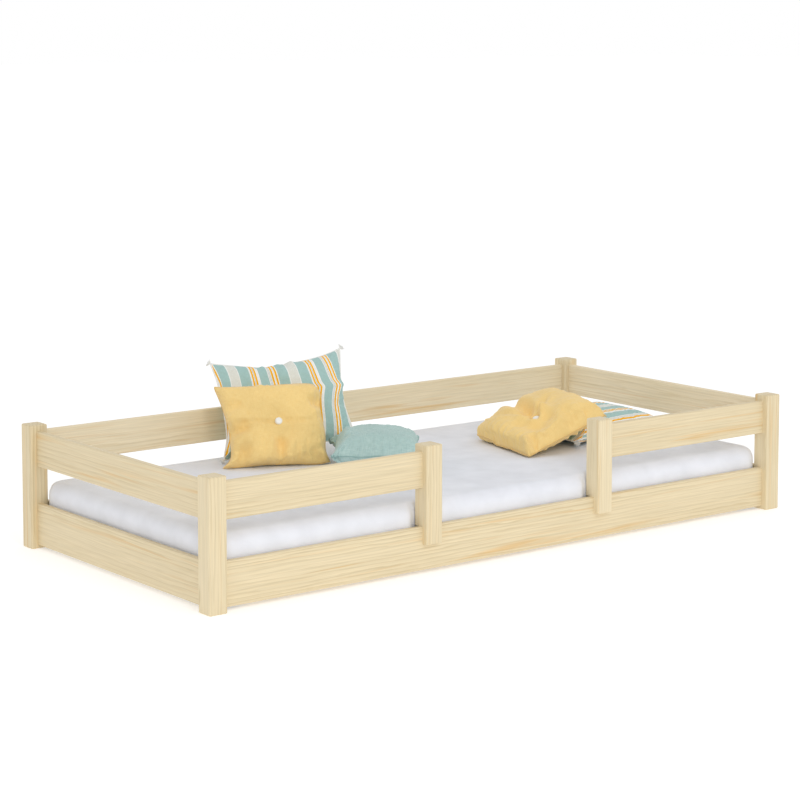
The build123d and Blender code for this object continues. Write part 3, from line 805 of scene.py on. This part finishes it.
# ---------------- mattress and fitted sheet
def slab(name, half, low, high, corner, top_radius, bottom_radius, hem, cells):
    """A rounded slab as one sheet of quads: top, rounded edge, side, and a rim turned under by hem. It
    comes with the points of each ring that stand on its four corners' seams."""
    across, up = cells
    bend = 5  # boundary cells that turn each half corner

    def outline(inset):
        radius = max(corner - inset, 0.004)
        hx, hy = half[0] - inset, half[1] - inset
        loop = []
        sides = (
            ((-hx + radius, -hy), (hx - radius, -hy), across, -math.pi / 2),
            ((hx, -hy + radius), (hx, hy - radius), up, 0.0),
            ((hx - radius, hy), (-hx + radius, hy), across, math.pi / 2),
            ((-hx, hy - radius), (-hx, -hy + radius), up, math.pi),
        )
        centres = [(x * (hx - radius), y * (hy - radius)) for x, y in ((1, -1), (1, 1), (-1, 1), (-1, -1))]
        for (start, end, count, facing), before, after in zip(sides, (centres[3], *centres[:3]), centres):
            for k in range(count):
                if k < bend:
                    turn = facing - math.pi / 4 * (1 - k / bend)
                    loop.append((before[0] + radius * math.cos(turn), before[1] + radius * math.sin(turn)))
                elif k > count - bend:
                    turn = facing + math.pi / 4 * (1 - (count - k) / bend)
                    loop.append((after[0] + radius * math.cos(turn), after[1] + radius * math.sin(turn)))
                else:
                    share = (k - bend) / (count - 2 * bend)
                    loop.append(tuple(a + share * (b - a) for a, b in zip(start, end)))
        return np.array(loop)

    rings = []
    for step in range(8):
        turn = math.pi / 2 * step / 7
        rings.append((top_radius * (1 - math.sin(turn)), high - top_radius * (1 - math.cos(turn))))
    for step in range(1, 9):
        share = step / 9
        rings.append((0.0, (high - top_radius) + share * (low + bottom_radius - high + top_radius)))
    for step in range(5):
        turn = math.pi / 2 * step / 4
        rings.append((bottom_radius * (1 - math.cos(turn)), low + bottom_radius * (1 - math.sin(turn))))
    rings.append((0.5 * (bottom_radius + hem), low))
    rings.append((hem, low))

    loop = outline(top_radius)
    south, east = loop[: across + 1], loop[across : across + up + 1]
    north = loop[across + up : 2 * across + up + 1][::-1]
    west = np.vstack([loop[2 * across + up :], loop[:1]])[::-1]
    u, v = np.linspace(0, 1, across + 1)[None, :, None], np.linspace(0, 1, up + 1)[:, None, None]
    spread = [(line[None], line[0], line[-1]) for line in (south, north)]
    spread += [(line[:, None], line[0], line[-1]) for line in (west, east)]
    patch = coons(u, v, *spread)
    points = [(x, y, high) for line in patch for x, y in line]
    row = across + 1
    faces = [
        (j * row + i, j * row + i + 1, (j + 1) * row + i + 1, (j + 1) * row + i)
        for j in range(up) for i in range(across)
    ]
    last = [i for i in range(across)] + [j * row + across for j in range(up)]
    last += [up * row + i for i in range(across, 0, -1)] + [j * row for j in range(up, 0, -1)]
    seam = [[last[k] for k in (0, across, across + up, 2 * across + up)]]
    for inset, level in rings[1:]:
        begin = len(points)
        points += [(x, y, level) for x, y in outline(inset)]
        ring = list(range(begin, len(points)))
        count = len(ring)
        faces += [(last[(k + 1) % count], last[k], ring[k], ring[(k + 1) % count]) for k in range(count)]
        last = ring
        seam.append([ring[k] for k in (0, across, across + up, 2 * across + up)])
    places = [(x * (1 + (high - z)), y * (1 + (high - z) / BED_HALF[1])) for x, y, z in points]
    return new_piece(name, points, faces, places), seam


def wave_field(points, scale, seed, count=24):
    """A smooth random height from a few sine waves."""
    chance = np.random.default_rng(seed)
    total = np.zeros(len(points))
    for _ in range(count):
        direction = chance.normal(size=3)
        direction /= np.linalg.norm(direction)
        total += np.sin(points @ direction * scale * chance.uniform(0.6, 1.6) + chance.uniform(0, 6.28))
    return total / math.sqrt(count)


def dent_for_posts(points, gap):
    """Moves the front edge back, by gap more than it must, where the short posts stand into the mattress."""
    for x_post in (-SHORT_POST_X, SHORT_POST_X):
        away = np.abs(points[:, 0] - x_post) - SHORT_POST_HALF - 0.0015
        across = np.clip(1 - away / 0.030, 0, 1)
        across = across * across * (3 - 2 * across)
        depth = np.clip(1 - (points[:, 1] + BED_HALF[1]) / 0.11, 0, 1)
        points[:, 1] += (POST_INTO_BED + gap) * across * depth**1.6
    return points


def make_bed():
    """The foam core, and the fitted sheet over it with its corner seams and elastic hem."""
    cells = (220, 100)
    sheet, seam = slab("fitted_sheet_cloth", BED_HALF, BED_BOTTOM, BED_TOP, 0.05, 0.038, 0.014, 0.09, cells)
    points = read(sheet.data)
    edge = BED_HALF - np.abs(points[:, :2])
    inward = np.clip(edge.min(1) / 0.10, 0, 1)
    top = points[:, 2] > BED_TOP - 0.0005
    side = (points[:, 2] < BED_TOP - 0.02) & (points[:, 2] > BED_BOTTOM + 0.004)
    points[top, 2] -= 0.0012 + 0.0006 * wave_field(points[top], 22.0, 4) * inward[top]
    near_corner = np.exp(-((edge[:, 0] / 0.16) ** 2) - ((edge[:, 1] / 0.16) ** 2))
    fold = wave_field(points * (1, 1, 0.25), 95.0, 9)
    outward = points[:, :2] / BED_HALF
    outward = np.sign(outward) * (np.abs(outward) > np.abs(outward).max(1, keepdims=True) - 1e-6)
    ripple = (0.0002 + 0.0007 * near_corner) * (fold - 1.6)
    points[side, 0] += (outward[:, 0] * ripple)[side]
    points[side, 1] += (outward[:, 1] * ripple)[side]
    under = points[:, 2] < BED_BOTTOM + 0.001
    gather = np.abs(np.sin(np.arctan2(points[:, 1] / BED_HALF[1], points[:, 0]) * 160))
    points[under, 2] += 0.0008 * gather[under]
    points = dent_for_posts(points, 0.0)
    write(sheet.data, points)
    seams = []
    for number in range(4):
        path = points[[ring[number] for ring in seam[2:-2]]]
        seams.append(tube(f"corner_seam_{number}", path, 0.0009, closed=False, sides=6))
    seams = join("fitted_sheet_seams", seams)
    hem = points[len(points) - 2 * sum(cells) :]
    elastic = tube("fitted_sheet_elastic", resample(hem, 0.012) + (0, 0, 0.0012), 0.0016, sides=6)
    thickness = sheet.modifiers.new("thickness", "SOLIDIFY")
    thickness.thickness = 0.0009
    thickness.offset = -1
    low, high = BED_BOTTOM + 0.0025, BED_TOP - 0.0075
    foam, _ = slab("mattress_foam", (0.9965, 0.4465), low, high, 0.0465, 0.033, 0.011, 0.44, (120, 60))
    write(foam.data, dent_for_posts(read(foam.data), 0.003))
    white, shade = srgb(241, 243, 250), srgb(236, 238, 245)
    cotton = cloth("white_cotton", white, shade, 0.3, 0.0006, (60, 600), 0.8, 0.15, 0.02)
    sheet.data.materials.append(cotton)
    thread = yarn("white_thread", srgb(238, 239, 242))
    seams.data.materials.append(thread)
    elastic.data.materials.append(thread)
    foam.data.materials.append(foam_material())
    for piece in (sheet, seams, elastic, foam):
        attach(piece, "mattress")
    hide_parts("fitted_sheet")
    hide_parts("mattress")


# ---------------- the five cushions
def dress(piece, body, material):
    piece.data.materials.append(material)
    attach(piece, body)


def make_cushion(
    node, slot, material, outline, cut, swell, pressure, frames, seed, tuft=None, blunt=(0, 0, 0, 0), full=0.8
):
    """Cuts, fills and sizes one cushion. outline is its seam, and swell its front and back depth. tuft is
    the place and depth of its button, and blunt draws its corners in."""
    piece, rim, cells = panel_mesh(f"{node}_cover", cut[0], cut[1], 0.014, FINE, tuft, seed)
    held = []
    if tuft:
        points = read(piece.data)
        near = np.hypot(points[:, 0] - tuft[0], points[:, 1] - tuft[1]) < 0.010
        held = [int(k) for k in np.nonzero(near & (points[:, 2] > 0))[0]]
    inflate(piece, pressure, frames, held)
    match_outline(piece, rim, cells, cut, outline, blunt)
    set_thickness(piece, *swell, full)
    keep_seam_sharp(piece, rim)
    dress(piece, node, material)
    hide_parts(node)
    return piece, (piece, rim, cells, node, slot)


def seat_tuft(piece, tuft, depth, radius=0.03):
    """Brings the bottom of the tuft to depth in front of the middle plane."""
    points = read(piece.data)
    flat = np.hypot(points[:, 0] - tuft[0], points[:, 1] - tuft[1])
    front = points[:, 2] > 0
    bottom = points[front & (flat < 0.008)][:, 2].mean()
    points[front, 2] += (depth - bottom) * np.exp(-((flat[front] / radius) ** 2))
    write(piece.data, points)


def corners_of(loop_points, cells):
    """The seam's four corners, each with the way out of the cushion."""
    across, up = cells
    middle = loop_points.mean(0)
    found = []
    for k in (0, across, across + up, 2 * across + up):
        outward = loop_points[k] - middle
        found.append((loop_points[k] - 0.002 * outward / np.linalg.norm(outward), outward))
    return found


def finish_cushion(cushion, plane, cord, radius, leaning=None, tassel_seed=None):
    """Lays the cushion on the bed and sews a cord along its seam, and tassels if they have a seed."""
    piece, rim, cells, node, slot = cushion
    place(piece, plane)
    if leaning is None:
        press_on_bed(piece, BED_TOP)
    else:
        turn = math.radians(leaning)
        settle_down(piece, (math.cos(turn), math.sin(turn), 0), BED_TOP)
    loop = read(piece.data)[rim]
    name = f"{node}_piping" if tassel_seed else f"{node}_edge"
    dress(tube(name, smooth_loop(resample(loop, 0.004), 2), radius), node, cord)
    if tassel_seed:
        tassels = fringe(f"{node}_fringe", corners_of(loop, cells), 0.0150, tassel_seed)
        dress(tassels, node, cord)
        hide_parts(f"{node}_tassels")
    subdivide(piece)


def make_cushions():
    stripes = striped_cloth("striped_cotton")
    stripes_turned = striped_cloth("striped_cotton_turned", turned=True)
    pale, dark = srgb(255, 224, 154), srgb(248, 212, 137)
    mustard = cloth("mustard_twill", pale, dark, 0.22, 0.0010, (55, 420), 0.85, 0.3, 0.06)
    pale, dark = srgb(196, 219, 214), srgb(160, 192, 188)
    teal = cloth("teal_linen", pale, dark, 0.20, 0.0012, (40, 620), 0.85, 0.25, 0.06)
    cream = yarn("cream_cord", srgb(254, 254, 251))
    mustard_cord = yarn("mustard_cord", srgb(236, 198, 126))
    teal_cord = yarn("teal_cord", srgb(150, 186, 182))
    resin = shell_button()
    for node in ("cushion_button_left", "cushion_button_right"):
        for slot in nodes[node].material_slots:
            slot.material = resin

    # striped, leaning at the back
    cut = (0.428, 0.308)
    outline = (
        [(-0.211, -0.149), (-0.10, -0.132), (0.018, -0.130), (0.12, -0.134), (0.206, -0.148)],
        [(0.206, -0.148), (0.193, -0.100), (0.182, -0.030), (0.187, 0.057), (0.203, 0.151)],
        [
            (0.203, 0.151), (0.164, 0.137), (0.103, 0.127), (0.043, 0.125),
            (-0.017, 0.120), (-0.058, 0.122), (-0.199, 0.154),
        ],
        [
            (-0.199, 0.154), (-0.189, 0.109), (-0.184, 0.03),
            (-0.184, -0.036), (-0.187, -0.083), (-0.211, -0.149),
        ],
    )
    piece, cushion = make_cushion(
        "striped_cushion_left", "striped_fabric", stripes, outline, cut, (0.050, 0.054), 2.6, 16, 11, full=0.7
    )
    pucker(piece, cut, 0.0020, 0.016, 0.034, 31)
    furrow(piece, (-0.055, 0.150), (-0.030, 0.040), 0.010, 0.022)
    furrow(piece, (0.205, -0.026), (0.150, -0.034), 0.004, 0.008)
    bow_threads(piece, 0.013)
    plane = cushion_plane((-0.242, 0.331, 0.349), -25, 27, 5.7)
    finish_cushion(cushion, plane, cream, 0.0026, tassel_seed=21)

    # mustard with a button, leaning in front of it
    cut = (0.336, 0.252)
    outline = (
        [
            (-0.160, -0.1205), (-0.112, -0.122), (-0.073, -0.120), (0.0, -0.122),
            (0.069, -0.120), (0.120, -0.124), (0.165, -0.119),
        ],
        [
            (0.165, -0.119), (0.150, -0.087), (0.158, -0.046), (0.153, 0.001),
            (0.149, 0.043), (0.157, 0.078), (0.158, 0.109),
        ],
        [
            (0.158, 0.109), (0.138, 0.113), (0.104, 0.117), (0.012, 0.118),
            (-0.046, 0.118), (-0.103, 0.119), (-0.161, 0.1245),
        ],
        [
            (-0.161, 0.1245), (-0.145, 0.076), (-0.132, 0.016), (-0.129, -0.025),
            (-0.129, -0.071), (-0.129, -0.100), (-0.160, -0.1205),
        ],
    )
    tuft = (0.014, -0.005)
    piece, cushion = make_cushion(
        "mustard_cushion_left", "mustard_fabric", mustard, outline, cut, (0.056, 0.036), 2.6, 16, 12,
        tuft=(*tuft, 0.034), blunt=(0, 0, 0.010, 0), full=0.58,
    )
    pucker(piece, cut, 0.0042, 0.020, 0.045, 32, lambda spot: 0.4 + 0.6 * np.clip(-spot[:, 1] * 12, 0, 1))
    furrow(piece, (-0.130, -0.001), (0.012, -0.004), 0.0060, 0.005)
    furrow(piece, (0.016, -0.004), (0.120, -0.012), 0.0035, 0.006)
    furrow(piece, (0.004, -0.150), (0.018, -0.045), 0.019, 0.015)
    furrow(piece, (-0.120, -0.150), (-0.080, -0.060), 0.018, 0.016)
    furrow(piece, (-0.160, -0.032), (-0.065, -0.012), 0.020, 0.015)
    furrow(piece, (-0.140, 0.045), (-0.085, 0.055), 0.008, 0.012)
    furrow(piece, (0.170, 0.062), (0.105, 0.040), 0.017, 0.014)
    furrow(piece, (0.145, -0.130), (0.100, -0.085), 0.010, 0.013)
    seat_tuft(piece, tuft, 0.0405)
    plane = cushion_plane((-0.3415, 0.2507, 0.311), -25, 27, 1.8)
    finish_cushion(cushion, plane, mustard_cord, 0.0011, leaning=-25)

    # teal, lying flat
    cut = (0.288, 0.286)
    outline = (
        [(-0.134, -0.132), (-0.06, -0.124), (0.06, -0.124), (0.135, -0.132)],
        [(0.135, -0.132), (0.123, -0.06), (0.123, 0.06), (0.134, 0.131)],
        [(0.134, 0.131), (0.06, 0.122), (-0.06, 0.122), (-0.135, 0.132)],
        [(-0.135, 0.132), (-0.117, 0.08), (-0.118, -0.04), (-0.134, -0.132)],
    )
    piece, cushion = make_cushion(
        "teal_cushion", "teal_fabric", teal, outline, cut, (0.066, 0.056), 3.2, 16, 13, full=0.62
    )
    pucker(piece, cut, 0.0020, 0.016, 0.040, 33)
    furrow(piece, (-0.140, 0.100), (-0.060, 0.090), 0.020, 0.022)
    furrow(piece, (-0.125, 0.060), (-0.125, -0.060), 0.014, 0.018)
    furrow(piece, (0.130, 0.090), (0.085, 0.080), 0.007, 0.012)
    finish_cushion(cushion, flat_cushion_plane((-0.139, 0.008, 0.250), -35), teal_cord, 0.0014)

    # striped, lying flat at the right
    cut = (0.410, 0.310)
    outline = (
        [(-0.192, -0.145), (0.0, -0.131), (0.190, -0.145)],
        [(0.190, -0.145), (0.177, 0.0), (0.190, 0.144)],
        [(0.190, 0.144), (0.0, 0.131), (-0.190, 0.144)],
        [(-0.190, 0.144), (-0.177, 0.0), (-0.192, -0.145)],
    )
    piece, cushion = make_cushion(
        "striped_cushion_right", "striped_fabric", stripes_turned, outline, cut, (0.056, 0.031), 2.6, 16, 14,
        full=0.75,
    )
    pucker(piece, cut, 0.0016, 0.016, 0.034, 34)
    plane = flat_cushion_plane((0.708, 0.020, 0.226), 4, 3)
    finish_cushion(cushion, plane, cream, 0.0026, tassel_seed=22)

    # mustard with a deep tuft, propped on it
    cut = (0.335, 0.365)
    outline = (
        [(-0.152, -0.172), (-0.10, -0.162), (0.0, -0.160), (0.10, -0.160), (0.152, -0.168)],
        [(0.152, -0.168), (0.142, -0.08), (0.142, 0.08), (0.150, 0.162)],
        [(0.150, 0.162), (0.06, 0.158), (-0.06, 0.158), (-0.150, 0.166)],
        [(-0.150, 0.166), (-0.147, 0.08), (-0.147, -0.08), (-0.152, -0.172)],
    )
    tuft = (-0.028, -0.044)
    piece, cushion = make_cushion(
        "mustard_cushion_right", "mustard_fabric", mustard, outline, cut, (0.064, 0.022), 3.6, 18, 15,
        tuft=(*tuft, 0.036), blunt=(0.006, 0.010, 0.016, 0.012), full=0.5,
    )
    pucker(piece, cut, 0.0040, 0.018, 0.030, 35)
    swell_at(piece, (0.085, 0.055), (0.070, 0.095), 0.015)
    swell_at(piece, (0.060, -0.090), (0.060, 0.055), 0.014)
    swell_at(piece, (-0.095, 0.040), (0.040, 0.060), 0.008)
    swell_at(piece, (-0.052, -0.090), (0.045, 0.055), -0.023)
    furrow(piece, tuft, (0.016, 0.260), 0.030, 0.018, from_tuft=True)
    furrow(piece, tuft, (-0.110, 0.160), 0.012, 0.012, from_tuft=True)
    furrow(piece, tuft, (0.075, 0.030), 0.018, 0.010, from_tuft=True)
    furrow(piece, tuft, (-0.150, -0.035), 0.012, 0.014, from_tuft=True)
    furrow(piece, tuft, (0.020, -0.150), 0.010, 0.014, from_tuft=True)
    furrow(piece, (-0.130, -0.190), (-0.095, -0.120), 0.018, 0.012)
    furrow(piece, (0.020, -0.180), (0.045, -0.100), 0.012, 0.014)
    swell_at(piece, (0.0, -0.13), (0.09, 0.05), 0.012, front=False)
    seat_tuft(piece, tuft, 0.0445)
    plane = flat_cushion_plane((0.477, -0.022, 0.2525), -10.7, 20)
    finish_cushion(cushion, plane, mustard_cord, 0.0020)


add_camera()
add_studio()
dress_frame()
make_bed()
make_cushions()
